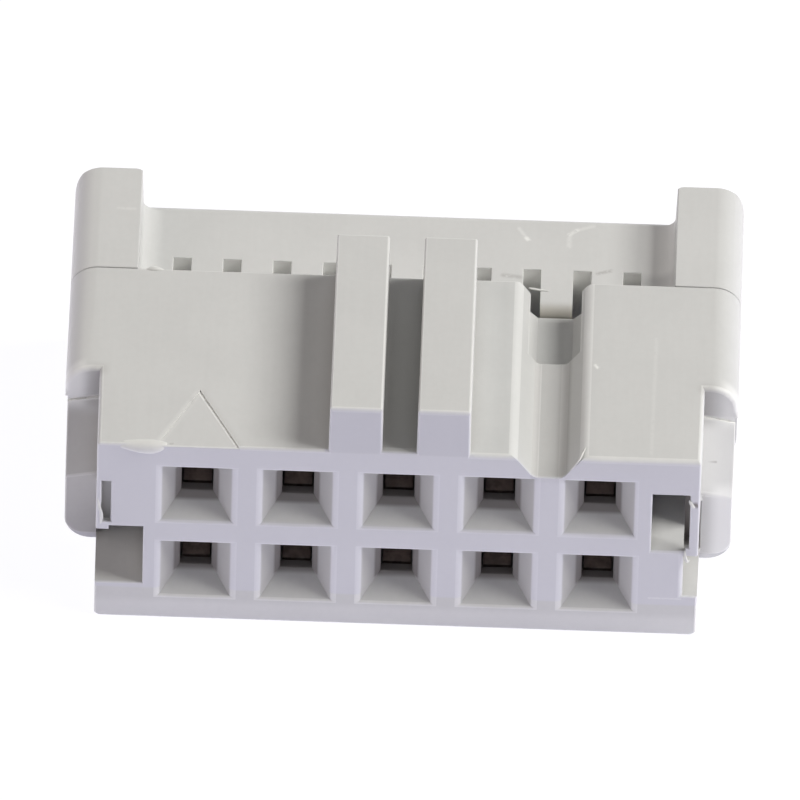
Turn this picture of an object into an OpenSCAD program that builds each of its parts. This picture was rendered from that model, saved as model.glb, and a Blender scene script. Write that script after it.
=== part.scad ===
// Ribbon-cable socket with two rows of insulation displacement contacts.
// It lies on the flat side opposite its polarising key. X runs along the
// columns, Y from the mating face to the cable cover and Z up. The working
// origin is in the mating face at mid thickness; seat() moves every piece so
// that the part's origin is under its middle, on the table.

/* [Grid] */
// Distance between neighbouring columns, and between the two rows
pitch = 2.54; // [2.4:0.02:2.7]

/* [Housing] */
// Thickness of the housing across the two rows
body_t = 5.9; // [5.7:0.1:7]
// Depth of the housing from the mating face to the cover
housing_d = 6.6; // [6.4:0.05:7.6]
// Length of the nose beyond the centre of an outer column
nose_end = 2.56; // [2.5:0.01:2.9]
// How much the nose narrows on each side at the mating face
nose_draft = 0.03; // [0.01:0.01:0.1]
// Radius of the nose's two lower edges
nose_r = 0.2; // [0.1:0.05:0.4]

/* [End wings] */
// How far a wing stands out from the nose
wing_out = 0.86; // [0.7:0.02:1.4]
// Distance from the mating face to the front of the wings
wing_y = 2.8; // [2.6:0.05:3.2]
// Corner radius of the wings and of the cover's ears
wing_r = 0.7; // [0.5:0.05:0.8]
// Gap between the underside of a wing and the table
wing_lift = 0.1; // [0.05:0.05:0.3]
// Height of the wing's upper band, which is a little wider than the rest
band_h = 0.98; // [0.85:0.01:1.2]
// How far the lower part of a wing is set in from the upper band
band_step = 0.06; // [0.04:0.02:0.16]
// How far the lug stands forward of the wing
lug_out = 0.95; // [0.6:0.05:1.3]
// Depth of the flat on top of the lug, before its slope begins
lug_flat = 0.06; // [0.04:0.01:0.3]
// Distance from the top of the housing to the top of the lug
lug_drop = 0.93; // [0.8:0.01:1.1]
// Height of the lug's slope
lug_slope_h = 1.73; // [1.4:0.01:2]
// Height of the lug's straight front below the slope
lug_front_h = 2.13; // [1.6:0.01:2.2]
// Corner radius at the lug's lower outer end
lug_r = 0.45; // [0.3:0.05:0.6]
// Angle at which the lug's top and slope fall towards its outer end
lug_tilt = 11; // [4:1:16]

/* [Polarising key] */
// Width of each of the two rails
rail_w = 1.36; // [1:0.02:1.8]
// Width of the slot between the rails
rail_gap = 0.86; // [0.6:0.02:1.2]
// Height of the rails above the housing
rail_h = 1.42; // [1.2:0.01:1.8]
// How much each flank of a rail leans in towards its top
rail_draft = 0.015; // [0:0.005:0.06]

/* [Pin openings] */
// Width of a lead-in at the mating face
lead_w = 1.84; // [1.5:0.02:2]
// Height of a lead-in at the mating face
lead_h = 1.89; // [1.6:0.01:2]
// Depth of a lead-in
lead_d = 0.66; // [0.5:0.01:0.9]
// Side of the square pin hole
hole = 0.8; // [0.75:0.01:0.95]
// Length of the square pin hole behind its lead-in
hole_d = 0.25; // [0.2:0.01:0.4]

/* [Contact cavities] */
// Width of a contact cavity
cavity_w = 1.2; // [1.1:0.02:1.3]
// Height of the front part of a contact cavity
cavity_h = 1.44; // [1.36:0.02:1.5]
// Distance from the mating face to the lower, rear part of a cavity
cavity_y = 4; // [3.8:0.05:4.3]
// Room above a pin's centre in the rear part of a cavity
pin_room = 0.35; // [0.34:0.01:0.4]

/* [End pockets] */
// Height of the pocket at each end of the nose
pocket_h = 3.6; // [3:0.02:3.8]
// Depth along X of the slot at each end of the nose
slot_in = 0.4; // [0.32:0.01:0.5]
// Depth along Y of that slot
slot_d = 2.3; // [1.6:0.05:2.4]
// How much shorter than the pocket that slot is, at the end away from the latch
slot_short = 0.16; // [0.05:0.01:0.3]
// Width of the bar across the upper half of the slot, beside the latch pocket
bar_w = 0.24; // [0.2:0.01:0.3]
// Width of the thinner bar across the slot at the other end
thin_bar_w = 0.12; // [0.08:0.01:0.16]
// Depth along Y of both bars
bar_d = 0.16; // [0.1:0.01:0.3]
// Distance from the mating face to the wall that closes the slot's side behind a bar
bar_wall_y = 1; // [0.8:0.05:1.5]
// Height of the foot that ties each bar to the nose
foot_h = 0.26; // [0.22:0.01:0.4]
// Depth along X of the latch pocket, measured from the end of the nose
latch_in = 1.23; // [1.12:0.01:1.26]
// Distance from the mating face to the ledge that holds the latch arm
ledge_y = 3.3; // [3:0.05:3.6]
// How far the latch pocket reaches past mid thickness
latch_over = 0.12; // [0.05:0.01:0.2]

/* [Groove beside the key] */
// Width of the groove at the top
groove_w = 1.74; // [1.4:0.02:1.8]
// How far the groove's middle lies towards the key from that of its window
groove_shift = 0.05; // [0:0.01:0.1]
// Width of the groove's floor
groove_floor_w = 0.74; // [0.5:0.01:0.9]
// Depth of the groove
groove_depth = 0.69; // [0.4:0.01:0.7]
// Distance from the mating face to the deeper window behind the groove
window_y = 4.3; // [4.1:0.05:4.6]
// Width of that window
window_w = 1.3; // [1.1:0.02:1.34]
// Chamfer at the window's lower corners
window_c = 0.2; // [0.1:0.02:0.3]
// Wall left between the window's floor and the contact cavities
window_wall = 0.1; // [0.08:0.01:0.16]

/* [Way mark] */
// Side of the sunk triangle that marks the first column
mark = 2.1; // [1.4:0.1:2.2]
// Depth of the triangle
mark_d = 0.04; // [0.03:0.01:0.15]

/* [Cover] */
// Gap between the housing and the cover
parting = 0.03; // [0.02:0.01:0.1]
// Depth of the ears from the parting face to the rear
ear_d = 3.77; // [3.4:0.01:4.2]
// Width of an ear at its top
ear_w = 1.7; // [1.6:0.02:1.9]
// How far an ear's inner flank leans out towards its root
ear_lean = 0.04; // [0:0.01:0.1]
// Radius of an ear's outer rear corner
ear_r = 0.25; // [0.1:0.05:0.8]
// Radius of an ear's inner rear corner
ear_inner_r = 0.2; // [0.1:0.05:0.4]
// How far the saddle lies below the ears, about one cable thickness
saddle_drop = 1.05; // [0.7:0.05:1.2]
// Distance from the saddle's rear edge to the rear of the ears
saddle_back = 0.14; // [0.1:0.02:0.9]
// Width of the hollow fillet between the saddle and an ear
fillet_w = 0.58; // [0.3:0.02:0.7]
// Height to which that fillet climbs the ear
fillet_h = 0.3; // [0.2:0.02:0.6]
// Radius of the saddle's rear edges
saddle_edge_r = 0.28; // [0.1:0.02:0.5]
// Width of a wire groove
wire_w = 0.45; // [0.4:0.01:0.56]
// Depth of a wire groove
wire_d = 1.6; // [0.9:0.05:1.8]
// Thickness of a latch arm
arm_t = 0.5; // [0.4:0.02:0.54]
// Height of a latch arm
arm_h = 1.5; // [1.2:0.05:1.6]
// Distance from the ledge to the front of a latch arm's hook
hook_d = 0.8; // [0.5:0.05:1]
// Clearance round a latch arm
arm_gap = 0.04; // [0.02:0.01:0.06]

/* [Contacts] */
// Thickness of the contact strip
strip_t = 0.2; // [0.16:0.01:0.24]
// Width of the contact's middle, which bears on the cavity's barbs
strip_w = 1; // [0.9:0.02:1.04]
// Width of the spring leaves
leaf_w = 0.7; // [0.5:0.02:0.74]
// Opening between the leaves, less than the pin's 0.64
leaf_gap = 0.5; // [0.4:0.02:0.56]
// Length of the fold that joins the two leaves
fold_d = 1.2; // [1:0.05:1.4]
// Gap between the fold and the step in the cavity
fold_gap = 0.1; // [0.05:0.01:0.2]
// Distance from the pin hole to a leaf's point of contact
leaf_point = 0.75; // [0.5:0.05:1]
// Distance from the pin hole to a leaf's tip
leaf_tip = 0.15; // [0.1:0.01:0.25]
// Length of a retaining barb
barb_d = 0.3; // [0.2:0.02:0.4]
// Width of the cutting fork
fork_w = 1.1; // [0.9:0.02:1.14]
// Width of the cutting slot
fork_slot = 0.2; // [0.16:0.01:0.26]
// Distance from the housing's rear to the neck of the fork
fork_in = 1.7; // [1.5:0.05:1.9]
// Length of the slanting neck between the plate and the fork
neck_d = 0.3; // [0.2:0.02:0.5]
// How deep the cutting slot reaches into the housing
slot_root = 0.5; // [0.3:0.05:0.8]
// Depth of the slot's wide mouth
mouth_d = 0.3; // [0.2:0.02:0.4]
// Width of a prong's tip
prong_tip = 0.15; // [0.1:0.01:0.2]
// Length over which a prong's outside tapers
prong_taper = 0.4; // [0.2:0.05:0.6]
// How far the fork stands out of the housing
fork_out = 1.2; // [1:0.05:1.3]
// Clearance between a fork and the slots it passes through
fork_gap = 0.08; // [0.05:0.01:0.1]

/* [Hidden] */
$fn = 48;
columns = 5;
over = 0.1;
row_z = pitch / 2;
wire_pitch = pitch / 2;
half_t = body_t / 2;
nose_half = (columns - 1) * pitch / 2 + nose_end;
wing_half = nose_half + wing_out;
low_half = wing_half - band_step;
lug_top = half_t - lug_drop;
lug_low = lug_top - lug_slope_h - lug_front_h;
rail_in = rail_gap / 2;
rail_out = rail_in + rail_w;
cavity_front = lead_d + hole_d;
groove_x = 1.5 * pitch;
window_floor = row_z + pin_room + window_wall;
channel_in = slot_in + arm_t + arm_gap;
arm_mid = (pocket_h / 2 - latch_over) / 2;
cover_y = housing_d + parting;
rear_y = cover_y + ear_d;
saddle_y = rear_y - saddle_back;
saddle_half = half_t - saddle_drop;
ear_top_in = wing_half - ear_w;
ear_root_in = ear_top_in - ear_lean;
neck_y = housing_d - fork_in;
fork_root = neck_y + neck_d;
fork_tip = housing_d + fork_out;
plate_z = -cavity_h / 2;
fold_rear = cavity_y - fold_gap;
fold_front = fold_rear - fold_d;

// Moves a piece from the working origin to the part's origin
module seat() {
    translate([0, -rear_y / 2, half_t]) children();
}

// Runs an outline drawn in X and Z along Y
module along_y(from, to) {
    translate([0, to, 0]) rotate([90, 0, 0]) linear_extrude(to - from) children();
}

// Runs an outline drawn in Y and Z along X
module along_x(from, to) {
    translate([from, 0, 0]) rotate([90, 0, 90]) linear_extrude(to - from) children();
}

// Runs an outline drawn in X and Y along Z
module along_z(from, to) {
    translate([0, 0, from]) linear_extrude(to - from) children();
}

// Box given by its two corners
module block(low, high) {
    translate(low) cube(high - low);
}

// Rectangle with its four corners rounded
module rounded(low, high, r) {
    translate([low.x + r, low.y]) square([high.x - low.x - 2 * r, high.y - low.y]);
    translate([low.x, low.y + r]) square([high.x - low.x, high.y - low.y - 2 * r]);
    for (x = [low.x + r, high.x - r], y = [low.y + r, high.y - r]) {
        translate([x, y]) circle(r);
    }
}

// Repeats at each column of one row, with +Z outwards and the wire side at -X
module each_way() {
    for (column = [0 : columns - 1], upper = [true, false]) {
        at_way(column, upper) children();
    }
}

// Places one way: the lower row is the upper row turned half round the Y axis
module at_way(column, upper) {
    x = (column - (columns - 1) / 2) * pitch;
    translate([x, 0, upper ? row_z : -row_z]) rotate([0, upper ? 0 : 180, 0]) children();
}

// Repeats at both ends, where the second end is the first turned half round Y
module each_end() {
    children();
    rotate([0, 180, 0]) children();
}

// Nose and body in one block, drafted in plan and rounded along its lower edges
module nose_block() {
    front = nose_half - nose_draft;
    intersection() {
        along_z(-half_t, half_t) polygon([
            [-front, 0], [front, 0], [nose_half, wing_y],
            [nose_half, housing_d], [-nose_half, housing_d], [-nose_half, wing_y]
        ]);
        along_y(0, housing_d) {
            rounded([-nose_half, -half_t], [nose_half, half_t - nose_r], nose_r);
            translate([-nose_half, 0]) square([2 * nose_half, half_t]);
        }
    }
}

// Outline of both wings together: a wide upper band over a narrower lower part
module wing_outline() {
    band_low = half_t - band_h;
    intersection() {
        rounded([-wing_half, -half_t], [wing_half, half_t], wing_r);
        translate([-wing_half, band_low]) square([2 * wing_half, band_h]);
    }
    intersection() {
        rounded([-low_half, wing_lift - half_t], [low_half, half_t + wing_r], wing_r - band_step);
        translate([-low_half, -half_t]) square([2 * low_half, band_low + half_t + over]);
    }
}

// Side view of a lug: a narrow flat top, a slope and a straight front
module lug_side() {
    slope_low = lug_top - lug_slope_h;
    front = wing_y - lug_out;
    polygon([
        [wing_y + over, lug_top], [wing_y - lug_flat, lug_top], [front, slope_low],
        [front, lug_low - wing_out], [wing_y + over, lug_low - wing_out]
    ]);
}

// Lug in front of the right wing: its top and slope fall outwards, its lower
// outer corner is round and its underside is level
module lug() {
    root = nose_half - nose_draft - over;
    intersection() {
        translate([root, 0, lug_top]) rotate([0, lug_tilt, 0]) translate([-root, 0, -lug_top]) {
            along_x(root - wing_out, wing_half + wing_out) lug_side();
        }
        along_y(0, wing_y + over) {
            rounded([-low_half, lug_low], [low_half, lug_top + 2 * lug_r], lug_r);
        }
        block([root, 0, -half_t], [wing_half, housing_d, half_t]);
    }
}

// The two polarising rails
module rails() {
    for (side = [-1, 1]) {
        along_y(0, housing_d) polygon([
            [side * rail_in, half_t - over],
            [side * rail_out, half_t - over],
            [side * rail_out, half_t],
            [side * (rail_out - rail_draft), half_t + rail_h],
            [side * (rail_in + rail_draft), half_t + rail_h],
            [side * rail_in, half_t]
        ]);
    }
}

// Half section of a lead-in and its pin hole, as a closed outline
function lead_in(mouth) = [
    [-over, mouth / 2], [0, mouth / 2], [lead_d, hole / 2], [cavity_front + over, hole / 2],
    [cavity_front + over, -hole / 2], [lead_d, -hole / 2], [0, -mouth / 2], [-over, -mouth / 2]
];

// Everything that is cut for one way: lead-in, pin hole, cavity and fork slot
module way_cut() {
    intersection() {
        along_z(-lead_h, lead_h) polygon([for (p = lead_in(lead_w)) [p.y, p.x]]);
        along_x(-lead_w, lead_w) polygon(lead_in(lead_h));
    }
    block([-cavity_w / 2, cavity_front, -cavity_h / 2], [cavity_w / 2, cavity_y, cavity_h / 2]);
    block([-cavity_w / 2, cavity_y - over, -cavity_h / 2], [cavity_w / 2, housing_d + over, pin_room]);
    block(
        [-wire_pitch / 2 - fork_w / 2 - fork_gap, neck_y - fork_gap, plate_z],
        [cavity_w / 2, housing_d + over, plate_z + strip_t + fork_gap]
    );
}

// Latch pocket and arm channel at the right end, in the half on the key side
module latch_cut() {
    inner = nose_half - latch_in;
    outer = nose_half - slot_in;
    block([inner, -over, -latch_over], [outer + arm_gap, ledge_y, pocket_h / 2]);
    block(
        [nose_half - channel_in - arm_gap, ledge_y - over, arm_mid - arm_h / 2 - arm_gap],
        [outer + arm_gap, housing_d + over, arm_mid + arm_h / 2 + arm_gap]
    );
}

// Slot along one end of the nose. In its upper half a wall closes its side, up
// to a window behind the bar at the mating face, and a foot ties the bar to the
// nose. The latch pocket is in the upper half at the right end and in the lower
// half at the left.
module end_slot(side, width) {
    inner = nose_half - slot_in;
    far = pocket_h / 2 - slot_short;
    low = side > 0 ? -far : -pocket_h / 2;
    high = side > 0 ? pocket_h / 2 : far;
    foot_low = side > 0 ? -foot_h : 0;
    bar_in = nose_half - nose_draft - width;
    difference() {
        slot_block(side, inner, nose_half, -over, slot_d, low, high);
        slot_block(side, bar_in, nose_half + over, -2 * over, bar_d, foot_low, high + over);
        slot_block(side, bar_in, nose_half + over, bar_wall_y, slot_d + over, 0, high + over);
        slot_block(side, inner - over, nose_half + over, -2 * over, bar_d, foot_low, foot_low + foot_h);
    }
}

// Block at one end of the nose, given by its two limits along each axis
module slot_block(side, from, to, front, rear, low, high) {
    block([min(side * from, side * to), front, low], [max(side * from, side * to), rear, high]);
}

// Groove beside the key and the deeper window behind it
module groove_cut() {
    floor_z = half_t - groove_depth;
    half = groove_w / 2;
    floor_half = groove_floor_w / 2;
    window_half = window_w / 2;
    translate([groove_x - groove_shift, 0, 0]) {
        along_y(-over, housing_d + over) polygon([
            [-half, half_t], [-floor_half, floor_z], [floor_half, floor_z],
            [half, half_t], [half, half_t + over], [-half, half_t + over]
        ]);
    }
    translate([groove_x, 0, 0]) {
        along_y(window_y, housing_d + over) polygon([
            [-window_half, half_t], [-window_half, window_floor + window_c],
            [window_c - window_half, window_floor], [window_half - window_c, window_floor],
            [window_half, window_floor + window_c], [window_half, half_t]
        ]);
    }
}

// Sunk triangle over the first column, its base on the mating edge
module mark_cut() {
    x = -(columns - 1) * pitch / 2;
    along_z(half_t - mark_d, half_t + over) polygon([
        [x - mark / 2, -over], [x + mark / 2, -over], [x + mark / 2, 0], [x, mark], [x - mark / 2, 0]
    ]);
}

module housing() {
    color("gainsboro") seat() difference() {
        union() {
            nose_block();
            along_y(wing_y, housing_d) wing_outline();
            lug();
            mirror([1, 0, 0]) lug();
            rails();
        }
        each_way() way_cut();
        each_end() latch_cut();
        end_slot(1, bar_w);
        end_slot(-1, thin_bar_w);
        groove_cut();
        mark_cut();
    }
}

// Plan view of the right ear, with its two rear corners rounded
module ear_plan() {
    corner_x = wing_half - ear_r;
    inner_x = ear_root_in + ear_inner_r;
    polygon([
        [ear_root_in, cover_y], [wing_half, cover_y], [wing_half, rear_y - ear_r],
        [corner_x, rear_y - ear_r], [corner_x, rear_y], [inner_x, rear_y],
        [inner_x, rear_y - ear_inner_r], [ear_root_in, rear_y - ear_inner_r]
    ]);
    translate([corner_x, rear_y - ear_r]) circle(ear_r);
    translate([inner_x, rear_y - ear_inner_r]) circle(ear_inner_r);
}

// Front view of the right ear: outer corners rounded, inner flank leaning
module ear_front() {
    intersection() {
        rounded([-wing_half, -half_t], [wing_half, half_t], wing_r);
        polygon([
            [ear_top_in, half_t], [wing_half, half_t], [wing_half, -half_t], [ear_top_in, -half_t],
            [ear_root_in, -saddle_half], [ear_root_in, saddle_half]
        ]);
    }
}

// Right ear, standing past the saddle on both sides and at the rear
module ear() {
    intersection() {
        along_z(-half_t, half_t) ear_plan();
        along_y(cover_y, rear_y) ear_front();
    }
}

// Saddle between the ears, over which the cable folds, with round rear edges
module saddle() {
    end = ear_root_in + over;
    edge_y = saddle_y - saddle_edge_r;
    along_x(-end, end) {
        translate([cover_y, -saddle_half]) square([edge_y - cover_y, 2 * saddle_half]);
        rounded([edge_y - 2 * saddle_edge_r, -saddle_half], [saddle_y, saddle_half], saddle_edge_r);
    }
    each_end() ear_fillet();
}

// Fillets between the saddle's two faces and the right ear
module ear_fillet() {
    x = ear_root_in - fillet_w;
    top = saddle_half + fillet_h;
    rise = [for (a = [0 : 9 : 90]) [x + fillet_w * sin(a), top - fillet_h * cos(a)]];
    fall = [for (i = [len(rise) - 1 : -1 : 0]) [rise[i].x, -rise[i].y]];
    root = ear_root_in + over;
    along_y(cover_y, saddle_y - saddle_edge_r) polygon(concat(rise, [[root, top], [root, -top]], fall));
}

// Grooves that hold the wires, running through from one side to the other
module wire_cut() {
    for (wire = [0 : 2 * columns - 1]) {
        x = (wire - columns + 0.5) * wire_pitch;
        block([x - wire_w / 2, cover_y - over, -half_t], [x + wire_w / 2, cover_y + wire_d, half_t]);
    }
}

// Slot in the cover for the prongs of one fork
module fork_cut() {
    half = fork_w / 2 + fork_gap;
    x = -wire_pitch / 2;
    block(
        [x - half, cover_y - over, plate_z - fork_gap],
        [x + half, fork_tip + fork_gap, plate_z + strip_t + fork_gap]
    );
}

// Latch arm at the right end, its hook bearing on the housing's ledge
module arm() {
    outer = nose_half - slot_in;
    inner = outer - arm_t;
    hook = nose_half - latch_in + arm_gap;
    along_z(arm_mid - arm_h / 2, arm_mid + arm_h / 2) polygon([
        [outer, cover_y + over], [inner, cover_y + over], [inner, ledge_y], [hook, ledge_y],
        [hook, ledge_y - hook_d / 3], [inner + arm_t / 4, ledge_y - hook_d], [outer, ledge_y - hook_d]
    ]);
}

module cover() {
    color("whitesmoke") seat() {
        difference() {
            union() {
                saddle();
                each_end() ear();
            }
            wire_cut();
            each_way() fork_cut();
        }
        each_end() arm();
    }
}

// Side view of a spring leaf from its root to its flared tip
module leaf_side() {
    lift = -leaf_gap / 2 - strip_t - plate_z;
    curve = [
        [fold_rear, 0], [fold_front, 0],
        [cavity_front + leaf_point, lift], [cavity_front + leaf_tip, lift / 4]
    ];
    below = [for (p = curve) [p.x, plate_z + p.y]];
    above = [for (i = [len(curve) - 1 : -1 : 0]) [curve[i].x, plate_z + curve[i].y + strip_t]];
    polygon(concat(below, above));
}

// One prong of the fork in plan, on the +X side of the slot
module prong() {
    half = fork_w / 2;
    polygon([
        [0, fork_root], [half, fork_root], [half, fork_tip - prong_taper],
        [half - prong_tip, fork_tip], [half - 2 * prong_tip, fork_tip],
        [fork_slot / 2, fork_tip - mouth_d], [fork_slot / 2, housing_d - slot_root],
        [0, housing_d - slot_root]
    ]);
}

// Plate in plan, with the neck that leads to the fork beside it
module plate_plan() {
    x = -wire_pitch / 2;
    half = fork_w / 2;
    polygon([
        [-strip_w / 2, fold_front], [strip_w / 2, fold_front], [strip_w / 2, neck_y],
        [x + half, fork_root], [x - half, fork_root], [-strip_w / 2, neck_y]
    ]);
    translate([x, 0]) {
        prong();
        mirror([1, 0]) prong();
    }
}

// Barbs that reach the cavity's walls
module barbs() {
    half = cavity_w / 2;
    root = strip_w / 2;
    for (y = [fold_front + barb_d / 2, fold_front + 2 * barb_d]) {
        polygon([
            [-root, y], [-half, y + 0.8 * barb_d], [-root, y + barb_d],
            [root, y + barb_d], [half, y + 0.8 * barb_d], [root, y]
        ]);
    }
}

// One contact: plate with fork, folded side wall and two spring leaves
module contact(number) {
    color("goldenrod") seat() at_way(floor((number - 1) / 2), number % 2 == 1) {
        along_z(plate_z, plate_z + strip_t) {
            plate_plan();
            barbs();
        }
        block(
            [strip_w / 2 - strip_t, fold_front, plate_z],
            [strip_w / 2, fold_rear, -plate_z]
        );
        block(
            [-leaf_w / 2, fold_front, -plate_z - strip_t],
            [strip_w / 2, fold_rear, -plate_z]
        );
        along_x(-leaf_w / 2, leaf_w / 2) {
            leaf_side();
            mirror([0, 1]) leaf_side();
        }
    }
}

housing();
cover();
contact(1);  // contact_1
contact(2);  // contact_2
contact(3);  // contact_3
contact(4);  // contact_4
contact(5);  // contact_5
contact(6);  // contact_6
contact(7);  // contact_7
contact(8);  // contact_8
contact(9);  // contact_9
contact(10);  // contact_10
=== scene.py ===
"""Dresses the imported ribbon-cable socket and sets it on a plain stage."""

import math

import bmesh
import bpy
from bpy.props import FloatProperty, FloatVectorProperty, PointerProperty
from mathutils import Matrix, Vector


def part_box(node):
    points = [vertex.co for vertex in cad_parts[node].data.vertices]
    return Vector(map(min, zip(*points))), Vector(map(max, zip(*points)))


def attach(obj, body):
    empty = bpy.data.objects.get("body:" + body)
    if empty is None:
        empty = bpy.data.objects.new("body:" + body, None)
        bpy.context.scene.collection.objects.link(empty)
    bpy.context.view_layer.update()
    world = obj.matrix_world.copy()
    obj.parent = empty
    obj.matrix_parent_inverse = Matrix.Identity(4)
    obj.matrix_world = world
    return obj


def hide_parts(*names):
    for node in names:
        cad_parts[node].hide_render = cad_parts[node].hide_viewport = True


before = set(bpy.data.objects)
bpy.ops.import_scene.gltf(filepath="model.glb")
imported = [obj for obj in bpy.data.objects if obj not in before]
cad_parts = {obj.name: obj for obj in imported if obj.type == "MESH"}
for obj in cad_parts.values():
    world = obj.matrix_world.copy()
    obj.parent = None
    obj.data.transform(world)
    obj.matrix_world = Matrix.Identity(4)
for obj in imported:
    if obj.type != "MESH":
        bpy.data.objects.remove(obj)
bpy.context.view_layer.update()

bl_info = {
    "name": "Ribbon-cable socket",
    "version": (1, 0, 0),
    "blender": (4, 5, 0),
    "location": "View3D > Sidebar > Socket",
    "description": "Dresses the packed socket with its finishes, small moulding marks and a stage",
    "category": "Object",
}

MM = 0.001
BODY = "root"
CONTACTS = sorted(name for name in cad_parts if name.startswith("contact_"))
# Pitch of the pins in millimetres, and the places of their columns and of the wires along X
PITCH = 2.54
COLUMNS = tuple((column - 2) * PITCH for column in range(5))
WIRES = tuple((wire - 4.5) * PITCH / 2 for wire in range(10))
# Half the width of a lead-in at the mating face, in millimetres
LEAD_HALF = 0.92
# Where the mating face lies along Y, and the height of its middle, which is the cover's too
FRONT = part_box("housing")[0].y
MIDDLE = (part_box("cover")[0].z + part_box("cover")[1].z) / 2
# Middle of the mating face, and the place at which the lamps and the camera point
FACE = Vector((0.0, FRONT, MIDDLE))
AIM = Vector((0.0, 0.0, MIDDLE))
WHITE = (1.0, 1.0, 1.0, 1.0)
# Pale and dark colours, for real scratches and stains and for painted light and painted shade
PALE = (0.86, 0.86, 0.84, 1.0)
DARK_GRIME_AND_SHADE = (0.16, 0.14, 0.13, 1.0)
# How wide a hollow may be for painted shade to darken it
HOLLOW_SHADE_REACH = 0.8 * MM
# How much the plastic's roughness varies
ROUGHNESS_SPREAD = 0.12
# Dull patches on the contacts: their share of the colour, and how much rougher they are
DULL_COLOUR = 0.62
DULL_ROUGHNESS = 0.15
# Depth of the rolling lines on the contacts
LINE_DEPTH = 0.004 * MM
# Half the width of the floor, and how far away the lamps are
FLOOR_HALF = 0.6
LAMP_DISTANCE = 0.5
# Points closer than this are one, edges shorter than this are taken out, and faces
# that meet at less than this angle are joined, before the edges are rounded
WELD = 0.0005 * MM
SLIVER = 0.012 * MM
FLAT = math.radians(0.4)
# Points closer than this to a plane that splits faces lie on it
ON_PLANE = 0.0001 * MM
# Largest edge radius, of which each rule gives a share, and the faces across it
WIDEST = 0.3 * MM
ROUND_STEPS = 3
# Edges whose faces meet at less than this angle belong to a curved face
CREASE = math.radians(22)
# Cosine of the angle up to which faces that turn away from each other are shaded as one
SMOOTH = math.cos(math.radians(33))
# Faces round a bead of flash, and a direction in which no bead runs
BEAD_SIDES = 8
ASKEW = Vector((0.31, 0.52, 0.79))

# Planes that split the faces of a moulding, so that no face has a hole in it
# and a radius can change along an edge: the axis, the place on it in
# millimetres from the middle of the mating face, and where along X it begins
HOUSING_CUTS = tuple((0, column, 0.0) for column in COLUMNS) + (
    (0, -6.35, 0.0),
    (0, -3.8, 0.0),
    (2, 2.15, 7.7),
)
COVER_CUTS = tuple((0, wire, 0.0) for wire in WIRES)

# Boxes in millimetres from the middle of the mating face, each with the radius
# of the edges that lie in it. The first box that holds an edge counts.
MOUTH_SIDES = tuple(
    ((column + side - 0.02, -0.02, -2.24), (column + side + 0.02, 0.02, 2.24), 0.12)
    for column in COLUMNS
    for side in (-LEAD_HALF, LEAD_HALF)
)
HOUSING_EDGES = MOUTH_SIDES + (
    # Bars across the slots at the ends
    ((7.3, -0.02, -0.3), (7.7, 0.2, 1.9), 0.04),
    ((-7.7, -0.02, -0.1), (-7.4, 0.2, 1.9), 0.03),
    # Upper and lower edges of the lead-ins, and their pin holes
    ((-6.2, -0.02, -2.24), (6.2, 0.02, 2.24), 0.04),
    ((-6.2, 0.5, -2.3), (6.2, 0.7, 2.24), 0.03),
    # Pockets at the ends, at the mating face
    ((7.2, -0.02, -1.7), (7.28, 0.02, -0.2), 0.12),
    ((6.38, -0.02, -0.16), (7.28, 0.02, -0.08), 0.07),
    ((-7.58, -0.02, -1.9), (7.58, 0.02, 1.9), 0.045),
    ((-7.8, -0.02, -1.9), (7.8, 0.02, 1.9), 0.04),
    # Everything else inside stays sharp
    ((-7.62, 0.02, -2.24), (7.62, 6.7, 2.2), 0.0),
    # Groove beside the key
    ((2.85, -0.02, 2.2), (4.7, 0.02, 2.96), 0.0),
    ((2.85, -0.02, 2.9), (4.7, 6.7, 3.0), 0.14),
    ((2.85, -0.02, 2.2), (4.7, 6.7, 3.0), 0.04),
    # Lower edge of the mating face
    ((-7.8, -0.02, -3.0), (7.8, 0.02, -2.7), 0.05),
    # Rails
    ((-2.0, -0.02, 4.2), (2.0, 0.02, 4.5), 0.1),
    ((-2.0, -0.02, 2.9), (2.0, 6.7, 4.5), 0.06),
    # Way mark
    ((-6.36, -0.02, 2.8), (-3.79, 0.02, 3.0), 0.012),
    ((-6.2, -0.02, 2.8), (-3.9, 2.2, 2.96), 0.0),
    # Upper edges of the nose, and the sides of the mating face
    ((-7.62, -0.02, 2.8), (7.62, 0.02, 3.0), 0.14),
    ((-7.7, -0.02, 2.9), (7.7, 2.85, 3.0), 0.1),
    ((-7.66, -0.02, -3.0), (7.66, 0.02, 3.0), 0.05),
    # Edges at the cover
    ((-8.6, 6.5, -3.0), (8.6, 6.7, 3.0), 0.03),
    # Lugs
    ((-8.6, 1.7, -2.0), (8.6, 2.9, 1.2), 0.045),
    ((-8.6, 1.7, -2.0), (8.6, 2.9, 1.9), 0.03),
    # Fronts of the shoulders
    ((-8.6, 2.7, 2.14), (8.6, 2.9, 3.0), 0.12),
)
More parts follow.
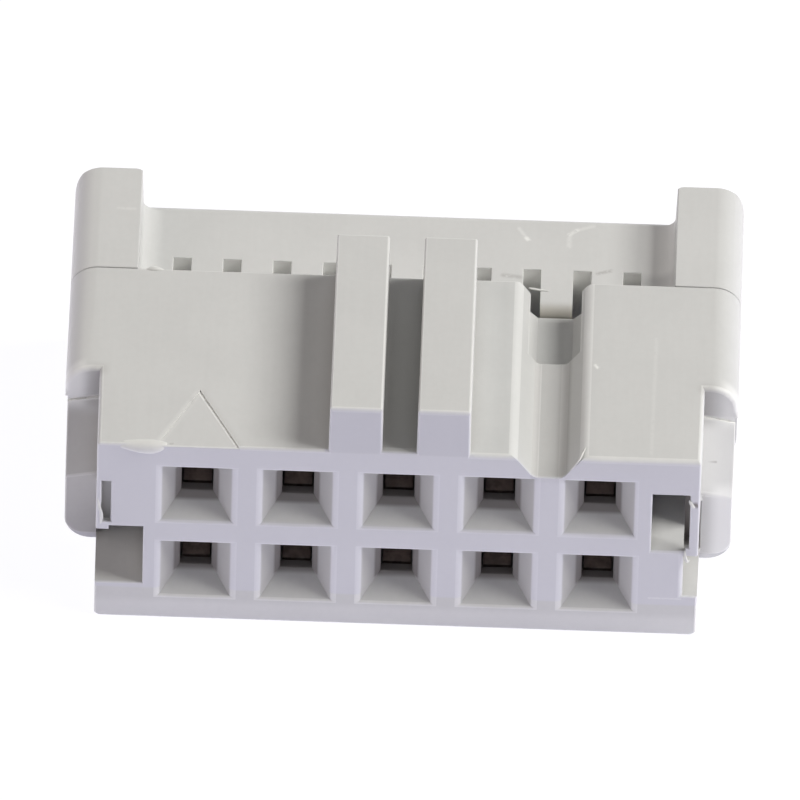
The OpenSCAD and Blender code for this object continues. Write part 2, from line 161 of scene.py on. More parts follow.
# Hollow edges of the housing that are filled with a radius, in the same way
HOUSING_FILLETS = (
    ((3.3, -0.02, 2.2), (4.2, 4.35, 2.3), 0.12),
)
COVER_EDGES = (
    # Arms and slots stay sharp, and so does the saddle's rear, which is round already
    ((-7.4, 2.0, -1.85), (7.4, 9.4, 1.85), 0.0),
    ((-6.9, 9.96, -2.9), (6.9, 10.41, 2.9), 0.0),
    # Rib that shows in the groove's window
    ((3.35, 6.6, 1.85), (4.27, 6.7, 1.95), 0.3),
    ((3.35, 6.6, -2.0), (4.27, 8.3, 1.95), 0.0),
    # Edges at the housing, and those of the saddle
    ((-8.6, 6.6, -3.0), (8.6, 6.7, 3.0), 0.03),
    ((-6.85, 6.6, -2.9), (6.85, 10.0, 2.9), 0.03),
    # Inner edges of the ears, where the corner at the rear is round already
    ((-6.81, 6.6, -2.97), (6.81, 10.33, -2.93), 0.03),
    ((-6.81, 6.6, 2.93), (6.81, 10.33, 2.97), 0.03),
    ((-6.97, 10.1, 2.93), (6.97, 10.41, 2.97), 0.03),
    ((-6.97, 10.1, -2.97), (6.97, 10.41, -2.93), 0.03),
    ((-6.97, 10.1, -2.97), (6.97, 10.41, 2.97), 0.0),
    # Rear edges of the ears
    ((-8.6, 10.1, -3.0), (8.6, 10.5, 3.0), 0.03),
)

# Beads of flash and burrs left by moulding, each a row of stations: a place in
# millimetres from the middle of the mating face, and the bead's radius there
FLASH = (
    ((-7.25, 0.08, 2.88, 0.05), (-6.95, 0.1, 2.84, 0.13), (-6.55, 0.11, 2.79, 0.2),
     (-6.2, 0.11, 2.78, 0.22), (-5.97, 0.1, 2.83, 0.14), (-5.82, 0.08, 2.89, 0.05)),
    ((7.34, 0.05, 1.64, 0.03), (7.38, 0.0, 1.56, 0.05), (7.43, -0.02, 1.48, 0.05),
     (7.48, 0.02, 1.4, 0.03)),
    ((7.27, 0.02, -0.06, 0.02), (7.28, -0.02, -0.2, 0.035), (7.3, -0.04, -0.34, 0.045),
     (7.36, -0.03, -0.42, 0.04), (7.4, 0.0, -0.36, 0.02)),
    ((-7.58, 0.02, 1.1, 0.02), (-7.54, -0.01, 0.78, 0.04), (-7.48, -0.02, 0.62, 0.05),
     (-7.46, -0.01, 0.4, 0.05), (-7.5, 0.02, 0.16, 0.03)),
    ((4.7, 0.47, 2.95, 0.01), (4.62, 0.25, 2.94, 0.028), (4.55, 0.03, 2.91, 0.038),
     (4.42, 0.01, 2.7, 0.028), (4.3, 0.01, 2.52, 0.012)),
    ((3.08, 6.57, 2.76, 0.03), (3.3, 6.57, 2.71, 0.035), (3.5, 6.56, 2.69, 0.03),
     (3.62, 6.55, 2.7, 0.012)),
    ((-6.62, 6.58, 2.93, 0.015), (-6.44, 6.6, 2.93, 0.1), (-6.3, 6.6, 2.93, 0.09),
     (-6.12, 6.58, 2.93, 0.015)),
)

# Scuffs and stains, and on the housing also painted highlights and painted shade:
# both ends in millimetres from the middle of the mating face, width, colour and strength
HOUSING_MARKS_AND_PAINTED_LIGHT = (
    # Specks and scratches
    ((-5.76, 0.1, 2.95), (-5.72, 0.11, 2.95), 0.07, DARK_GRIME_AND_SHADE, 0.8),
    ((7.78, 2.27, 0.95), (7.98, 2.26, 0.95), 0.05, DARK_GRIME_AND_SHADE, 0.5),
    ((7.5, 0.0, 1.52), (7.56, 0.0, 1.47), 0.13, DARK_GRIME_AND_SHADE, 0.9),
    ((6.4, 0.0, -1.72), (7.2, 0.0, -1.72), 0.05, PALE, 0.3),
    ((4.86, 3.54, 2.95), (4.92, 3.44, 2.95), 0.08, PALE, 0.8),
    ((6.34, 0.3, 2.95), (6.38, 4.6, 2.95), 0.09, PALE, 0.12),
    # Lines of the way mark: a painted highlight on the left line, painted shade along the right line,
    # and painted light over the shadow beside its wall
    ((-6.06, 0.15, 2.95), (-5.1, 2.06, 2.95), 0.14, PALE, 0.22),
    ((-4.07, 0.1, 2.95), (-5.06, 2.05, 2.95), 0.18, DARK_GRIME_AND_SHADE, 0.1),
    ((-4.1, 0.1, 2.91), (-5.1, 2.06, 2.91), 0.07, PALE, 1.0),
    # Painted highlights on the ridge of the right lug and along the tops of both lugs
    ((7.7, 1.85, 0.2), (8.4, 1.85, 0.13), 0.12, PALE, 0.8),
    ((7.64, 2.785, 1.99), (8.46, 2.785, 1.838), 0.1, PALE, 0.7),
    ((-8.46, 2.785, 1.838), (-7.64, 2.785, 1.99), 0.1, PALE, 0.95),
)
COVER_MARKS = (
    # Pale scratches on the saddle
    ((2.8, 9.76, 1.9), (3.0, 9.4, 1.9), 0.09, PALE, 0.3),
    ((3.0, 9.4, 1.9), (3.04, 9.34, 1.9), 0.1, PALE, 0.7),
    ((4.08, 9.12, 1.9), (4.09, 9.59, 1.9), 0.11, PALE, 0.25),
    ((4.09, 9.59, 1.9), (4.27, 9.76, 1.9), 0.1, PALE, 0.45),
    ((4.27, 9.76, 1.9), (4.69, 9.94, 1.9), 0.1, PALE, 0.25),
    # Dark stains beside the wire slots
    ((4.84, 8.15, 1.9), (5.17, 8.27, 1.9), 0.1, DARK_GRIME_AND_SHADE, 0.35),
    ((2.45, 7.97, 1.9), (2.88, 7.92, 1.9), 0.13, DARK_GRIME_AND_SHADE, 0.3),
    # Scratch on the left ear
    ((-7.37, 8.85, 2.95), (-6.96, 8.85, 2.95), 0.09, PALE, 0.2),
)

# Places where light or shade is painted on the plastic: the corners of a box in millimetres
# from the middle of the mating face, the margin round it in which this fades,
# colour, strength, and whether only faces that look along X have it
HOUSING_PAINTED_LIGHT = (
    # Painted shade in the contact cavities and on the side walls of the lead-ins
    ((-6.0, 0.52, -1.7), (6.0, 4.0, 1.7), 0.1, DARK_GRIME_AND_SHADE, 0.75, False),
    ((-6.1, 0.06, -2.24), (6.1, 0.5, 2.24), 0.04, DARK_GRIME_AND_SHADE, 0.25, True),
    # Painted light on both walls of the way mark, lifting their shade
    ((-6.3, 0.05, 2.915), (-4.98, 2.2, 2.945), 0.005, PALE, 0.35, False),
    ((-4.95, 0.05, 2.915), (-3.9, 2.2, 2.945), 0.005, PALE, 1.0, False),
    # Painted shade on the left lug
    ((-8.6, 1.7, -1.8), (-7.66, 2.86, 1.5), 0.3, (0.2, 0.15, 0.09, 1.0), 0.18, False),
    # Painted light on the right lug and more on its outer part, and painted shade in its corner at the
    # nose
    ((7.66, 1.7, -1.8), (8.6, 2.86, 1.95), 0.1, PALE, 0.4, False),
    ((8.15, 1.7, -1.8), (8.6, 1.95, 0.2), 0.35, PALE, 0.85, False),
    ((7.6, 1.8, -1.8), (7.72, 1.9, 0.15), 0.25, DARK_GRIME_AND_SHADE, 0.16, False),
    # Painted shade on the floor of the groove beside the key, and on its two fillets
    ((3.55, 0.1, 2.2), (4.2, 4.3, 2.3), 0.2, DARK_GRIME_AND_SHADE, 0.23, False),
    ((3.34, 0.0, 2.2), (3.46, 4.4, 2.345), 0.04, DARK_GRIME_AND_SHADE, 0.27, False),
    ((4.04, 0.1, 2.2), (4.25, 4.3, 2.35), 0.15, DARK_GRIME_AND_SHADE, 0.18, False),
    # Painted shade on the floor of the slot between the rails
    ((-0.42, 0.2, 2.9), (0.42, 6.5, 3.0), 0.02, DARK_GRIME_AND_SHADE, 0.22, False),
    # Painted shade at the rear of the slot behind the right bar
    ((7.22, 2.25, -1.6), (7.45, 2.4, 1.7), 0.04, DARK_GRIME_AND_SHADE, 0.65, False),
    # Painted shade on the front of the right shoulder at the nose, and painted light outside
    ((7.66, 2.78, 1.9), (7.75, 2.82, 2.9), 0.3, DARK_GRIME_AND_SHADE, 0.22, False),
    ((8.25, 2.75, 1.9), (8.6, 3.0, 2.9), 0.3, PALE, 0.45, False),
    # Painted shade on the front of the left shoulder at the nose, and painted light outside and on its
    # round side
    ((-7.75, 2.75, 1.9), (-7.6, 2.82, 2.9), 0.3, DARK_GRIME_AND_SHADE, 0.2, False),
    ((-8.6, 2.75, 1.9), (-8.2, 3.0, 2.9), 0.3, PALE, 0.6, False),
    ((-8.7, 2.9, 1.6), (-8.15, 6.7, 2.9), 0.35, PALE, 0.3, False),
    # Painted light on the foot of the mating face, and a bluish painted light on the rest of it and on
    # the rails' fronts
    ((-7.7, -0.1, -3.0), (7.7, 0.06, -2.5), 0.3, PALE, 0.2, False),
    ((-7.7, -0.1, -1.9), (7.7, 0.02, 2.85), 0.08, (0.6, 0.6, 0.67, 1.0), 0.5, False),
    ((-1.85, -0.1, 2.93), (1.85, 0.02, 4.45), 0.08, (0.51, 0.51, 0.58, 1.0), 0.5, False),
)
COVER_PAINTED_LIGHT = (
    # Painted light in the wire slots
    ((-6.8, 7.0, -1.84), (6.8, 8.3, 1.87), 0.02, PALE, 0.9, False),
    # Painted shade on the front of the rib that shows in the groove's window
    ((3.35, 6.6, 0.5), (4.27, 6.7, 1.78), 0.4, (0.33, 0.3, 0.24, 1.0), 0.65, False),
    # Painted light on the end of the saddle beside the right ear, lifting the ear's shadow
    ((6.2, 8.3, 1.85), (6.8, 10.3, 1.95), 0.4, PALE, 0.6, False),
    # Painted light on the round side of the left ear
    ((-8.7, 6.6, 1.6), (-8.15, 10.5, 2.9), 0.35, PALE, 0.3, False),
)

# Azimuth and elevation in degrees, width in metres and colour of each lamp
KEY_LAMP = (87, 46.5, 0.27, (1.0, 0.99, 0.96))
LEFT_LAMP = (-90, 38, 0.4, (1.0, 0.93, 0.9))
BACK_LAMP = (170, 20, 0.3, (0.9, 0.95, 1.0))


class Signal:
    """An output socket among some nodes. Arithmetic on it adds Math nodes."""

    def __init__(self, nodes, socket):
        self.nodes = nodes
        self.socket = socket

    def math(self, operation, *others):
        return self.nodes.add("ShaderNodeMath", {"operation": operation}, dict(enumerate(others)))

    def __add__(self, other):
        return self.math("ADD", self, other)

    def __radd__(self, other):
        return self.math("ADD", other, self)

    def __sub__(self, other):
        return self.math("SUBTRACT", self, other)

    def __rsub__(self, other):
        return self.math("SUBTRACT", other, self)

    def __mul__(self, other):
        return self.math("MULTIPLY", self, other)

    def __rmul__(self, other):
        return self.math("MULTIPLY", other, self)

    def at_least(self, other):
        return self.math("MAXIMUM", self, other)

    def at_most(self, other):
        return self.math("MINIMUM", self, other)

    def fade(self, low, high):
        """0 up to low and 1 from high on, with a soft step between them."""
        return self.nodes.add(
            "ShaderNodeMapRange",
            {"interpolation_type": "SMOOTHSTEP"},
            {"Value": self, "From Min": low, "From Max": high, "To Min": 0.0, "To Max": 1.0},
        )


class Nodes:
    """The nodes of a material or a world."""

    def __init__(self, owner):
        owner.use_nodes = True
        self.tree = owner.node_tree
        self.tree.nodes.clear()

    def add(self, kind, settings=None, values=None, outputs=0):
        """Adds a node: settings first, then the values or links of its sockets."""
        node = self.tree.nodes.new(kind)
        for name, value in (settings or {}).items():
            setattr(node, name, value)
        for name, value in (values or {}).items():
            if isinstance(value, Signal):
                self.tree.links.new(value.socket, node.inputs[name])
            else:
                node.inputs[name].default_value = value
        if outputs is None:
            return None
        if isinstance(outputs, (list, tuple)):
            return [Signal(self, node.outputs[name]) for name in outputs]
        return Signal(self, node.outputs[outputs])

    def vector(self, operation, *others, outputs=0):
        """Vector Math on vectors or signals."""
        values = dict(enumerate(others))
        return self.add("ShaderNodeVectorMath", {"operation": operation}, values, outputs)

    def scaled(self, vector, factor):
        return self.add("ShaderNodeVectorMath", {"operation": "SCALE"}, {0: vector, "Scale": factor})

    def place(self):
        """Position in millimetres from the middle of the mating face."""
        spot = self.add("ShaderNodeTexCoord", outputs="Object")
        return self.scaled(self.vector("SUBTRACT", spot, FACE), 1 / MM)

    def streak(self, spot, start, end, width):
        """1 on the line from start to end and 0 at its width from it, softly between."""
        line = Vector(end) - Vector(start)
        offset = self.vector("SUBTRACT", spot, start)
        share = self.vector("DOT_PRODUCT", offset, line / line.length_squared, outputs="Value")
        nearest = self.scaled(line, share.at_least(0.0).at_most(1.0))
        return 1.0 - self.vector("DISTANCE", offset, nearest, outputs="Value").fade(0.0, width)

    def noise(self, spot, scale, detail, roughness):
        values = {"Vector": spot, "Scale": scale, "Detail": detail, "Roughness": roughness}
        return self.add("ShaderNodeTexNoise", None, values)

    def stretched(self, spot, stretch):
        return self.vector("MULTIPLY", spot, stretch)

    def tint(self, share, first, second):
        """Blend of two colours by a share."""
        values = {0: share, 6: first, 7: second}
        return self.add("ShaderNodeMix", {"data_type": "RGBA"}, values, outputs=2)

    def hollow(self, reach):
        """0 on open faces, rising towards 1 in hollows narrower than the reach."""
        settings = {"samples": 8, "only_local": True}
        values = {"Distance": reach}
        return 1.0 - self.add("ShaderNodeAmbientOcclusion", settings, values, outputs="AO")

    def inside(self, spot, low, high, margin):
        """1 in a box and 0 at the margin outside it, softly between."""
        axes = self.add("ShaderNodeSeparateXYZ", None, {"Vector": spot}, outputs=("X", "Y", "Z"))
        shares = [
            axis.fade(start - margin, start) * (1.0 - axis.fade(end, end + margin))
            for axis, start, end in zip(axes, low, high)
        ]
        return shares[0] * shares[1] * shares[2]

    def sideways(self):
        """1 on faces that look along X, and 0 on those that look along Y or Z."""
        facing = self.add("ShaderNodeNewGeometry", outputs="Normal")
        across = self.add("ShaderNodeSeparateXYZ", None, {"Vector": facing}, outputs="X")
        return across.math("ABSOLUTE", across).fade(0.4, 0.8)

    def bump(self, height, strength, distance):
        values = {"Height": height, "Strength": strength, "Distance": distance}
        return self.add("ShaderNodeBump", None, values)

    def seen(self):
        """1 for rays from the camera, a gloss or a clear piece, and otherwise 0."""
        rays = ("Is Camera Ray", "Is Glossy Ray", "Is Transmission Ray")
        camera, glossy, clear = self.add("ShaderNodeLightPath", outputs=rays)
        return camera.at_least(glossy).at_least(clear)

    def surface(self, shader, kind="ShaderNodeOutputMaterial"):
        self.add(kind, None, {"Surface": shader}, outputs=None)


def shaded(colour, factor):
    """A colour made lighter or darker by a factor."""
    return tuple(part * factor for part in colour[:3]) + (1.0,)


def moulded_plastic(name, settings, colour, hollow_shade=0.0, marks=(), painted_light=()):
    """Matt moulded plastic with a fine eroded grain, clouding, marks, painted shade in hollows and
    painted light and shade in places.
    """
    material = bpy.data.materials.new(name)
    nodes = Nodes(material)
    spot = nodes.place()
    cloud = nodes.noise(spot, scale=0.45, detail=3.0, roughness=0.55)
    mottle = nodes.noise(spot, scale=6.0, detail=3.0, roughness=0.6)
    grain = nodes.noise(spot, scale=26.0, detail=2.0, roughness=0.6)
    pulled = nodes.stretched(spot, (7.0, 0.5, 7.0))
    drag = nodes.noise(pulled, scale=1.0, detail=3.0, roughness=0.6)
    tone = (cloud * 0.5 + mottle * 0.3 + drag * 0.2).fade(0.3, 0.7)
    dark = shaded(colour, 1.0 - settings.clouding)
    light = shaded(colour, 1.0 + settings.clouding)
    skin = nodes.tint(tone, dark, light)
    # Painted shade: the plastic turns towards a dark colour in hollows, the more closed in they are
    skin = nodes.tint(nodes.hollow(HOLLOW_SHADE_REACH).fade(0.2, 1.0) * hollow_shade, skin, DARK_GRIME_AND_SHADE)
    for low, high, margin, painted_colour, strength, only_sides in painted_light:
        share = nodes.inside(spot, low, high, margin) * strength
        if only_sides:
            share = share * nodes.sideways()
        skin = nodes.tint(share, skin, painted_colour)
    # Breaks every mark into patches: the scuffs and stains, and the painted highlights and shade among
    # them
    patchy = nodes.noise(spot, scale=9.0, detail=2.0, roughness=0.6).fade(0.25, 0.5)
    for start, end, width, mark_colour, strength in marks:
        share = nodes.streak(spot, start, end, width) * patchy * strength
        skin = nodes.tint(share, skin, mark_colour)
    nodes.surface(nodes.add("ShaderNodeBsdfPrincipled", None, {
        "Base Color": skin,
        "Roughness": settings.roughness + ROUGHNESS_SPREAD * (mottle - 0.5),
        "IOR": 1.5,
        "Normal": nodes.bump(grain * 0.7 + mottle * 0.3, strength=0.12, distance=settings.grain),
    }))
    return material


def stamped_metal(name, settings):
    """Stamped strip with fine rolling lines and dull patches."""
    material = bpy.data.materials.new(name)
    nodes = Nodes(material)
    spot = nodes.place()
    rolled = nodes.stretched(spot, (40.0, 1.5, 40.0))
    lines = nodes.noise(rolled, scale=1.0, detail=2.0, roughness=0.5)
    dull = nodes.noise(spot, scale=3.0, detail=3.0, roughness=0.6).fade(0.35, 0.7)
    bright_colour = shaded(settings.colour, 1.0)
    dull_colour = shaded(settings.colour, DULL_COLOUR)
    nodes.surface(nodes.add("ShaderNodeBsdfPrincipled", None, {
        "Base Color": nodes.tint(dull, bright_colour, dull_colour),
        "Metallic": 1.0,
        "Roughness": settings.roughness + DULL_ROUGHNESS * dull,
        "Normal": nodes.bump(lines, strength=0.2, distance=LINE_DEPTH),
    }))
    return material


def from_face(point):
    """A point in millimetres from the middle of the mating face."""
    return (point - FACE) / MM


def split_at(shape, cuts):
    """Splits the faces at the given planes and marks the new edges as seams."""
    for axis, place, outside in cuts:
        normal = Vector((0.0, 0.0, 0.0))
        normal[axis] = 1.0
        near = [vert for vert in shape.verts if abs(vert.co.x) >= outside * MM]
        kept = set(near)
        lines = [edge for edge in shape.edges if kept.issuperset(edge.verts)]
        sides = [face for face in shape.faces if kept.issuperset(face.verts)]
        cut = bmesh.ops.bisect_plane(
            shape,
            geom=near + lines + sides,
            dist=ON_PLANE,
            plane_co=FACE + normal * place * MM,
            plane_no=normal,
        )
        for item in cut["geom_cut"]:
            if isinstance(item, bmesh.types.BMEdge):
                item.seam = True


def edge_radius(edge, rules):
    """Radius in millimetres that the rules give to an edge."""
    first, second = (from_face(vert.co) for vert in edge.verts)
    for low, high, radius in rules:
        inside = all(
            low[axis] <= min(first[axis], second[axis]) and max(first[axis], second[axis]) <= high[axis]
            for axis in range(3)
        )
        if inside:
            return radius
    return 0.0


def bead(shape, stations):
    """Adds a closed bead that runs through the stations."""
    places = [Vector(station[:3]) for station in stations]
    rings = []
    for index, place in enumerate(places):
        along = places[min(index + 1, len(places) - 1)] - places[max(index - 1, 0)]
        side = along.cross(ASKEW).normalized()
        across = along.normalized().cross(side)
        ring = []
        for step in range(BEAD_SIDES):
            angle = math.tau * step / BEAD_SIDES
            offset = (side * math.cos(angle) + across * math.sin(angle)) * stations[index][3]
            ring.append(shape.verts.new((place + offset) * MM + FACE))
        rings.append(ring)
    for ring, following in zip(rings, rings[1:]):
        for step in range(BEAD_SIDES):
            beside = (step + 1) % BEAD_SIDES
            shape.faces.new((ring[step], ring[beside], following[beside], following[step]))
    shape.faces.new(rings[0])
    shape.faces.new(rings[-1])


def shade(mesh):
    """Gives every corner the mean direction of those faces round it that turn away little."""
    around = [[] for vertex in mesh.vertices]
    for face in mesh.polygons:
        for vertex in face.vertices:
            around[vertex].append(face)
    normals = []
    for face in mesh.polygons:
        for vertex in face.vertices:
            total = Vector((0.0, 0.0, 0.0))
            for other in around[vertex]:
                if other.normal.dot(face.normal) > SMOOTH:
                    total += other.normal * other.area
            normals.append(total.normalized())
    mesh.normals_split_custom_set(normals)


def moulding(name, node, materials, cuts, rules, fillets=()):
    """Copy of a node's solid that stands for the node, with round edges in the last material."""
    shape = bmesh.new()
    shape.from_mesh(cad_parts[node].data)
    bmesh.ops.remove_doubles(shape, verts=shape.verts[:], dist=WELD)
    bmesh.ops.dissolve_degenerate(shape, dist=SLIVER, edges=shape.edges[:])
    split_at(shape, cuts)
    bmesh.ops.dissolve_limit(
        shape,
        angle_limit=FLAT,
        use_dissolve_boundaries=False,
        verts=shape.verts[:],
        edges=shape.edges[:],
        delimit={"SEAM"},
    )
    weight = shape.edges.layers.float.new("bevel_weight_edge")
    for edge in shape.edges:
        edge.seam = False
        if edge.calc_face_angle() < CREASE:
            continue
        radius = edge_radius(edge, rules if edge.is_convex else fillets)
        edge[weight] = radius * MM / WIDEST
    for face in shape.faces:
        face.smooth = True
    sharp = bpy.data.meshes.new(name)
    shape.to_mesh(sharp)
    shape.free()
    for material in materials:
        sharp.materials.append(material)
    piece = bpy.data.objects.new(name, sharp)
    bpy.context.scene.collection.objects.link(piece)
    soft = piece.modifiers.new("soft_edges", "BEVEL")
    soft.limit_method = "WEIGHT"
    soft.width = WIDEST
    soft.segments = ROUND_STEPS
    soft.use_clamp_overlap = False
    # The round edges take the last material, which on the housing is the paler copy, a painted
    # highlight
    soft.material = len(materials) - 1
    fine = piece.modifiers.new("triangles", "TRIANGULATE")
    fine.quad_method = "BEAUTY"
    fine.ngon_method = "BEAUTY"
    graph = bpy.context.evaluated_depsgraph_get()
    piece.data = bpy.data.meshes.new_from_object(piece.evaluated_get(graph))
    piece.modifiers.clear()
    bpy.data.meshes.remove(sharp)
    shade(piece.data)
    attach(piece, BODY)
    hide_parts(node)


def direction(azimuth, elevation):
    """Direction away from the part, at a turn from its front and a height above the horizon."""
    return Vector((
        math.sin(azimuth) * math.cos(elevation),
        -math.cos(azimuth) * math.cos(elevation),
        math.sin(elevation),
    ))


def lamp(name, power, azimuth, elevation, width, colour):
    """Soft square lamp in a direction given in degrees, at the lamps' distance."""
    away = direction(math.radians(azimuth), math.radians(elevation))
    data = bpy.data.lights.new(name, "AREA")
    data.shape = "SQUARE"
    data.size = width
    data.energy = power
    data.color = colour
    body = bpy.data.objects.new(name, data)
    body.location = AIM + away * LAMP_DISTANCE
    body.rotation_mode = "QUATERNION"
    body.rotation_quaternion = (-away).to_track_quat("-Z", "Y")
    bpy.context.scene.collection.objects.link(body)


class PlasticSettings(bpy.types.PropertyGroup):
    """Finish of the two moulded pieces, with a painted highlight on round edges and painted shade in
    hollows.
    """

    housing_colour: FloatVectorProperty(
        name="Housing colour", description="Colour of the housing's plastic",
        default=(0.56, 0.56, 0.55), size=3, min=0, max=1, subtype="COLOR",
    )
    cover_colour: FloatVectorProperty(
        name="Cover colour", description="Colour of the cover's plastic",
        default=(0.57, 0.57, 0.56), size=3, min=0, max=1, subtype="COLOR",
    )
    flash_colour: FloatVectorProperty(
        name="Flash colour", description="Colour of the thin flash and burrs",
        default=(0.65, 0.65, 0.63), size=3, min=0, max=1, subtype="COLOR",
    )
    # Painted highlight: the housing's round edges get a paler copy of its plastic
    edge_highlight: FloatProperty(
        name="Rim", description="How much paler the housing's round edges are than its faces",
        default=1.18, min=1, max=1.6,
    )
    clouding: FloatProperty(
        name="Clouding", description="How much the plastic's tone varies",
        default=0.03, min=0, max=0.2, subtype="FACTOR",
    )
    # Painted shade in the hollows of the housing and of the cover
    hollow_shade: FloatProperty(
        name="Grime", description="How much the housing's hollows are darkened by grime",
        default=0.7, min=0, max=1, subtype="FACTOR",
    )
    cover_hollow_shade: FloatProperty(
        name="Cover grime", description="How much the cover's hollows are darkened by grime",
        default=0.0, min=0, max=1, subtype="FACTOR",
    )
    roughness: FloatProperty(
        name="Roughness", description="Roughness of the moulded surface",
        default=0.48, min=0, max=1, subtype="FACTOR",
    )
    grain: FloatProperty(
        name="Grain", description="Height of the fine eroded grain",
        default=0.01 * MM, min=0, max=MM, unit="LENGTH", precision=6,
    )


class ContactSettings(bpy.types.PropertyGroup):
    """Finish of the stamped contacts."""

    colour: FloatVectorProperty(
        name="Contact colour", description="Colour of the contacts' metal",
        default=(0.42, 0.36, 0.34), size=3, min=0, max=1, subtype="COLOR",
    )
    roughness: FloatProperty(
        name="Roughness", description="Roughness of the stamped strip",
        default=0.35, min=0, max=1, subtype="FACTOR",
    )


class StageSettings(bpy.types.PropertyGroup):
    """Floor, lamps and camera."""

    floor_colour: FloatVectorProperty(
        name="Floor colour", description="Colour of the floor",
        default=(0.9, 0.9, 0.9), size=3, min=0, max=1, subtype="COLOR",
    )
    floor_shadow: FloatProperty(
        name="Floor shadow", description="How much of the shadow shows on the floor",
        default=0.1, min=0, max=1, subtype="FACTOR",
    )
    floor_glow: FloatProperty(
        name="Floor glow", description="Strength of the light that the floor gives off",
        default=0.73, min=0, max=1,
    )
    glow_colour: FloatVectorProperty(
        name="Glow colour", description="Colour of the light that the floor gives off",
        default=(0.74, 0.715, 1.0), size=3, min=0, max=1, subtype="COLOR",
    )
    key_power: FloatProperty(
        name="Key power", description="Power of the lamp at the right",
        default=2.85, min=0, unit="POWER",
    )
    left_power: FloatProperty(
        name="Left power", description="Power of the lamp at the left",
        default=0.9, min=0, unit="POWER",
    )
    back_power: FloatProperty(
        name="Back power", description="Power of the lamp behind the part",
        default=0.15, min=0, unit="POWER",
    )
    sky: FloatProperty(
        name="Sky", description="Strength of the even light all round",
        default=0.02, min=0, max=2,
    )
    azimuth: FloatProperty(
        name="Camera azimuth", description="Turn of the camera round the part",
        default=math.radians(0.48), subtype="ANGLE",
    )
    elevation: FloatProperty(
        name="Camera elevation", description="Height of the camera above the horizon",
        default=math.radians(42.3), subtype="ANGLE",
    )
    roll: FloatProperty(
        name="Camera roll", description="Turn of the camera about its own line of sight",
        default=math.radians(1.62), subtype="ANGLE",
    )
    distance: FloatProperty(
        name="Camera distance", description="Distance from the camera to the part",
        default=0.85, min=0.05, unit="LENGTH",
    )
    view_width: FloatProperty(
        name="View width", description="Width of the picture at the part",
        default=20.28 * MM, min=MM, unit="LENGTH", precision=6,
    )
    aim_right: FloatProperty(
        name="Aim to the right", description="How far the aim lies to the right of the part's middle",
        default=-0.066 * MM, unit="LENGTH", precision=6,
    )
    aim_up: FloatProperty(
        name="Aim upwards", description="How far the aim lies above the part's middle",
        default=0.0175 * MM, unit="LENGTH", precision=6,
    )


class SocketSettings(bpy.types.PropertyGroup):
    """Everything that can be set on the socket."""

    plastic: PointerProperty(type=PlasticSettings)
    contact: PointerProperty(type=ContactSettings)
    stage: PointerProperty(type=StageSettings)


class SOCKET_OT_housing(bpy.types.Operator):
    """Makes the housing's moulding with its finish and round edges"""

    bl_idname = "socket.housing"
    bl_label = "Housing"

    def execute(self, context):
        plastic = context.scene.socket.plastic
        colour = plastic.housing_colour
        # A paler copy of the plastic for the round edges, as a painted highlight
        edge_highlight = shaded(colour, plastic.edge_highlight)
        hollow_shade = plastic.hollow_shade
        materials = (
            moulded_plastic("housing_plastic", plastic, colour, hollow_shade, HOUSING_MARKS_AND_PAINTED_LIGHT, HOUSING_PAINTED_LIGHT),
            moulded_plastic("housing_edge_highlights", plastic, edge_highlight, hollow_shade, painted_light=HOUSING_PAINTED_LIGHT),
        )
        moulding("housing_moulding", "housing", materials, HOUSING_CUTS, HOUSING_EDGES, HOUSING_FILLETS)
        return {"FINISHED"}


class SOCKET_OT_flash(bpy.types.Operator):
    """Adds the beads of flash and the burrs that moulding left on the housing"""

    bl_idname = "socket.flash"
    bl_label = "Flash"

    def execute(self, context):
        shape = bmesh.new()
        for stations in FLASH:
            bead(shape, stations)
        bmesh.ops.recalc_face_normals(shape, faces=shape.faces[:])
        for face in shape.faces:
            face.smooth = True
        mesh = bpy.data.meshes.new("housing_flash")
        shape.to_mesh(mesh)
        shape.free()
        plastic = context.scene.socket.plastic
        mesh.materials.append(moulded_plastic("flash_plastic", plastic, plastic.flash_colour))
        piece = bpy.data.objects.new("housing_flash", mesh)
        context.scene.collection.objects.link(piece)
        piece.modifiers.new("smooth", "SUBSURF").levels = 2
        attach(piece, BODY)
        return {"FINISHED"}


class SOCKET_OT_cover(bpy.types.Operator):
    """Makes the cable cover's moulding with its finish and round edges"""

    bl_idname = "socket.cover"
    bl_label = "Cover"

    def execute(self, context):
        plastic = context.scene.socket.plastic
        colour = plastic.cover_colour
        hollow_shade = plastic.cover_hollow_shade
        material = moulded_plastic("cover_plastic", plastic, colour, hollow_shade, COVER_MARKS, COVER_PAINTED_LIGHT)
        moulding("cover_moulding", "cover", (material,), COVER_CUTS, COVER_EDGES)
        return {"FINISHED"}


class SOCKET_OT_contacts(bpy.types.Operator):
    """Gives the contacts their stamped metal"""

    bl_idname = "socket.contacts"
    bl_label = "Contacts"

    def execute(self, context):
        material = stamped_metal("contact_metal", context.scene.socket.contact)
        for name in CONTACTS:
            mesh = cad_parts[name].data
            mesh.materials.clear()
            mesh.materials.append(material)
        return {"FINISHED"}


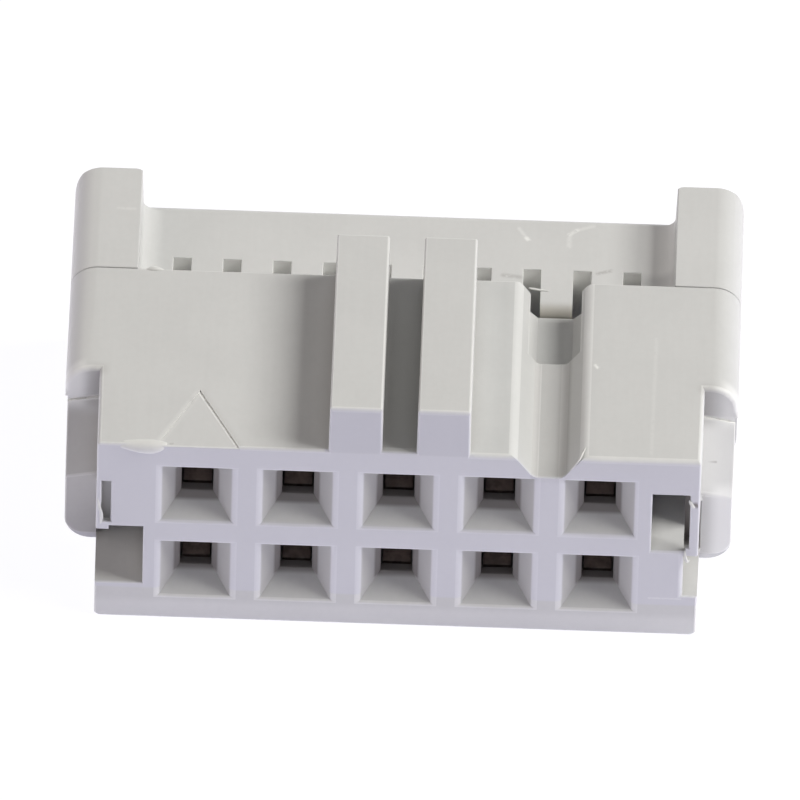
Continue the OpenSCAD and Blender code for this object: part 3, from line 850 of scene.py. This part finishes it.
class SOCKET_OT_stage(bpy.types.Operator):
    """Adds the floor, the lamps, the world and the camera"""

    bl_idname = "socket.stage"
    bl_label = "Stage"

    def execute(self, context):
        stage = context.scene.socket.stage
        self.floor(stage)
        self.world(context.scene, stage)
        lamp("key_lamp", stage.key_power, *KEY_LAMP)
        lamp("left_lamp", stage.left_power, *LEFT_LAMP)
        lamp("back_lamp", stage.back_power, *BACK_LAMP)
        self.camera(context.scene, stage)
        context.scene.view_settings.view_transform = "Standard"
        return {"FINISHED"}

    def floor(self, stage):
        """White floor on which little of the shadow shows, and which lights the part a little."""
        mesh = bpy.data.meshes.new("floor")
        shape = bmesh.new()
        bmesh.ops.create_grid(shape, x_segments=2, y_segments=2, size=FLOOR_HALF)
        shape.to_mesh(mesh)
        shape.free()
        floor = bpy.data.objects.new("floor", mesh)
        bpy.context.scene.collection.objects.link(floor)
        material = bpy.data.materials.new("floor_paper")
        nodes = Nodes(material)
        paper = nodes.add("ShaderNodeBsdfDiffuse", None, {"Color": shaded(stage.floor_colour, 1.0)})
        tinge = shaded(stage.glow_colour, 1.0)
        glow = nodes.add("ShaderNodeEmission", None, {"Color": tinge, "Strength": stage.floor_glow})
        lit = nodes.add("ShaderNodeAddShader", None, {0: paper, 1: glow})
        bright = nodes.add("ShaderNodeEmission", None, {"Color": WHITE, "Strength": 1.0})
        share = nodes.seen() * (1.0 - stage.floor_shadow)
        nodes.surface(nodes.add("ShaderNodeMixShader", None, {0: share, 1: lit, 2: bright}))
        mesh.materials.append(material)

    def world(self, scene, stage):
        """White surroundings that give little light."""
        scene.world = bpy.data.worlds.new("studio")
        nodes = Nodes(scene.world)
        dim = nodes.add("ShaderNodeBackground", None, {"Color": WHITE, "Strength": stage.sky})
        bright = nodes.add("ShaderNodeBackground", None, {"Color": WHITE, "Strength": 1.0})
        mixed = nodes.add("ShaderNodeMixShader", None, {0: nodes.seen(), 1: dim, 2: bright})
        nodes.surface(mixed, "ShaderNodeOutputWorld")

    def camera(self, scene, stage):
        """Camera in the photograph's place."""
        data = bpy.data.cameras.new("camera")
        data.sensor_width = 36.0
        data.lens = data.sensor_width * stage.distance / stage.view_width
        data.clip_start = 0.01
        data.clip_end = 10.0
        camera = bpy.data.objects.new("camera", data)
        away = direction(stage.azimuth, stage.elevation)
        turn = (-away).to_track_quat("-Z", "Y").to_matrix() @ Matrix.Rotation(stage.roll, 3, "Z")
        aim = AIM + turn @ Vector((stage.aim_right, stage.aim_up, 0.0))
        camera.matrix_world = Matrix.Translation(aim + away * stage.distance) @ turn.to_4x4()
        scene.collection.objects.link(camera)
        scene.camera = camera


class SOCKET_PT_panel(bpy.types.Panel):
    """Lists the steps and the settings of the socket"""

    bl_idname = "SOCKET_PT_panel"
    bl_label = "Socket"
    bl_space_type = "VIEW_3D"
    bl_region_type = "UI"
    bl_category = "Socket"

    def draw(self, context):
        settings = context.scene.socket
        for step in STEPS:
            self.layout.operator(step.bl_idname)
        for group in (settings.plastic, settings.contact, settings.stage):
            box = self.layout.box()
            for name in group.__annotations__:
                box.prop(group, name)


STEPS = (SOCKET_OT_housing, SOCKET_OT_flash, SOCKET_OT_cover, SOCKET_OT_contacts, SOCKET_OT_stage)
GROUPS = (PlasticSettings, ContactSettings, StageSettings, SocketSettings)


def register():
    for kind in GROUPS + STEPS + (SOCKET_PT_panel,):
        bpy.utils.register_class(kind)
    bpy.types.Scene.socket = PointerProperty(type=SocketSettings)


def unregister():
    del bpy.types.Scene.socket
    for kind in reversed(GROUPS + STEPS + (SOCKET_PT_panel,)):
        bpy.utils.unregister_class(kind)


def main():
    register()
    bpy.ops.socket.housing()
    bpy.ops.socket.flash()
    bpy.ops.socket.cover()
    bpy.ops.socket.contacts()
    bpy.ops.socket.stage()


if __name__ == "__main__":
    main()
